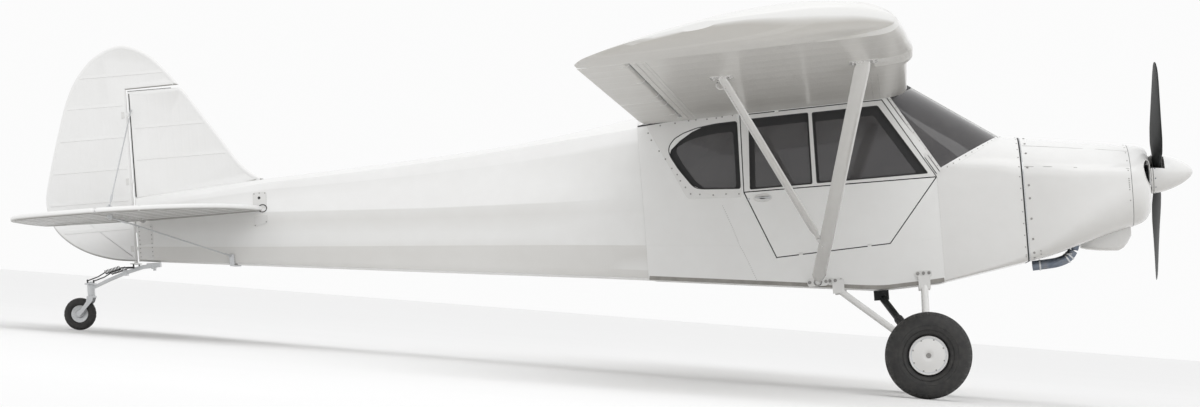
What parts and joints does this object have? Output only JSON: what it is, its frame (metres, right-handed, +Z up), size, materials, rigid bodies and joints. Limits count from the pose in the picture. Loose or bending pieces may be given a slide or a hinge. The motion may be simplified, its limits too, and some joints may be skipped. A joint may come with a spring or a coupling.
{
  "type": "light aircraft",
  "caption": "High-winged two-seat light aircraft with braced wings, a tail wheel, a split cabin door and moving control surfaces.",
  "frame": {"origin": "centre of the bounding box on the ground, under the parked aircraft", "axes": "+X towards the nose, +Y to port along the wing, +Z up"},
  "size_m": [7.1314, 10.74, 2.1096],
  "materials": {
    "paint_white": "glossy white paint on sheet metal",
    "paint_fabric": "white finish on taut doped fabric over ribs",
    "tinted_glass": "tinted clear acrylic",
    "tyre": "worn black rubber",
    "steel": "blued and weathered steel",
    "aluminium": "satin aluminium",
    "propeller_black": "satin black paint",
    "engine_iron": "dull grey castings",
    "seat_leather": "dark upholstery"
  },
  "bodies": {
    "airframe": {"air_scoop": "paint_white", "boot_cowl": "paint_white", "cabin_floor": "paint_white", "cabin_roof": "paint_white", "cabin_side_left": "paint_fabric", "cabin_side_right": "paint_fabric", "control_sticks": "propeller_black", "engine_block": "engine_iron", "engine_cowl": "paint_white", "exhaust_pipe": "steel", "fin": "paint_fabric", "firewall": "paint_white", "front_seat": "seat_leather", "gear_legs_left": "paint_white", "gear_legs_right": "paint_white", "gear_shock_struts": "steel", "instrument_panel": "propeller_black", "nose_bowl": "paint_white", "quarter_glass_left": "tinted_glass", "quarter_glass_right": "tinted_glass", "rear_fuselage": "paint_fabric", "rear_seat": "seat_leather", "side_glass_left": "tinted_glass", "skylight": "tinted_glass", "stabiliser_left": "paint_fabric", "stabiliser_right": "paint_fabric", "strut_front_left": "paint_white", "strut_front_right": "paint_white", "strut_rear_left": "paint_white", "strut_rear_right": "paint_white", "tail_spring": "aluminium", "tail_wires_lower": "steel", "tail_wires_upper": "steel", "windshield": "tinted_glass", "wing_left": "paint_fabric", "wing_right": "paint_fabric"},
    "propeller": {"propeller": "propeller_black", "spinner": "paint_white"},
    "wheel_right": {"wheel_right_tyre": "tyre", "wheel_right_hub": "paint_white"},
    "wheel_left": {"wheel_left_tyre": "tyre", "wheel_left_hub": "paint_white"},
    "tailwheel_fork": {"tailwheel_fork": "aluminium"},
    "tailwheel": {"tailwheel_tyre": "tyre", "tailwheel_hub": "aluminium"},
    "rudder": {"rudder": "paint_fabric"},
    "steering_link_right": {"steering_link_right": "steel"},
    "steering_link_left": {"steering_link_left": "steel"},
    "elevator": {"elevator": "paint_fabric"},
    "aileron_right": {"aileron_right": "paint_fabric"},
    "aileron_left": {"aileron_left": "paint_fabric"},
    "flap_right": {"flap_right": "paint_fabric"},
    "flap_left": {"flap_left": "paint_fabric"},
    "door_upper": {"door_upper_frame": "paint_white", "door_upper_glass": "tinted_glass"},
    "door_lower": {"door_lower": "paint_white"}
  },
  "joints": [
    {"name": "propeller_spin", "type": "hinge", "parent": "airframe", "child": "propeller", "pos_m": [3.34533, 0, 1.47238], "axis": [0.9882, 0, 0.1531], "continuous": true},
    {"name": "wheel_right_spin", "type": "hinge", "parent": "airframe", "child": "wheel_right", "pos_m": [2.03174, -0.93, 0.25799], "axis": [0, 1, 0], "continuous": true},
    {"name": "wheel_left_spin", "type": "hinge", "parent": "airframe", "child": "wheel_left", "pos_m": [2.03174, 0.93, 0.25799], "axis": [0, 1, 0], "continuous": true},
    {"name": "rudder_turn", "type": "hinge", "parent": "airframe", "child": "rudder", "pos_m": [-3.05956, 0, 1.11577], "axis": [-0.1531, 0, 0.9882], "range_deg": [-25, 25]},
    {"name": "tailwheel_steer", "type": "hinge", "parent": "airframe", "child": "tailwheel_fork", "pos_m": [-3.22592, 0, 0.22986], "axis": [-0.1531, 0, 0.9882], "range_deg": [-25, 25]},
    {"name": "tailwheel_spin", "type": "hinge", "parent": "tailwheel_fork", "child": "tailwheel", "pos_m": [-3.28706, 0, 0.10199], "axis": [0, 1, 0], "continuous": true},
    {"name": "steering_link_right_swing", "type": "hinge", "parent": "rudder", "child": "steering_link_right", "pos_m": [-2.95203, -0.085, 0.42154], "axis": [-0.1531, 0, 0.9882], "range_deg": [-25, 25]},
    {"name": "steering_link_left_swing", "type": "hinge", "parent": "rudder", "child": "steering_link_left", "pos_m": [-2.95203, 0.085, 0.42154], "axis": [-0.1531, 0, 0.9882], "range_deg": [-25, 25]},
    {"name": "elevator_turn", "type": "hinge", "parent": "airframe", "child": "elevator", "pos_m": [-2.92885, 0, 0.72922], "axis": [0, 1, 0], "range_deg": [-15, 25]},
    {"name": "aileron_right_turn", "type": "hinge", "parent": "airframe", "child": "aileron_right", "pos_m": [0.40548, -3.5, 1.60761], "axis": [0.0005, 1, -0.0035], "range_deg": [-18, 18]},
    {"name": "aileron_left_turn", "type": "hinge", "parent": "airframe", "child": "aileron_left", "pos_m": [0.40548, 3.5, 1.60761], "axis": [-0.0005, 1, 0.0035], "range_deg": [-18, 18]},
    {"name": "flap_right_turn", "type": "hinge", "parent": "airframe", "child": "flap_right", "pos_m": [0.40664, -1.35, 1.60017], "axis": [-0.0005, -1, 0.0035], "range_deg": [0, 50]},
    {"name": "flap_left_turn", "type": "hinge", "parent": "airframe", "child": "flap_left", "pos_m": [0.40664, 1.35, 1.60017], "axis": [0.0005, -1, -0.0035], "range_deg": [0, 50]},
    {"name": "door_upper_swing", "type": "hinge", "parent": "airframe", "child": "door_upper", "pos_m": [1.21097, -0.353, 1.70238], "axis": [-0.9838, 0, -0.1793], "range_deg": [0, 88]},
    {"name": "door_lower_swing", "type": "hinge", "parent": "airframe", "child": "door_lower", "pos_m": [1.41241, -0.353, 0.8527], "axis": [0.9804, 0, 0.1971], "range_deg": [0, 80]}
  ],
  "couplings": [
    {"joint": "tailwheel_steer", "follows": "rudder_turn", "ratio": 1},
    {"joint": "steering_link_right_swing", "follows": "rudder_turn", "ratio": -1},
    {"joint": "steering_link_left_swing", "follows": "rudder_turn", "ratio": -1},
    {"joint": "aileron_left_turn", "follows": "aileron_right_turn", "ratio": -1},
    {"joint": "flap_left_turn", "follows": "flap_right_turn", "ratio": 1}
  ]
}
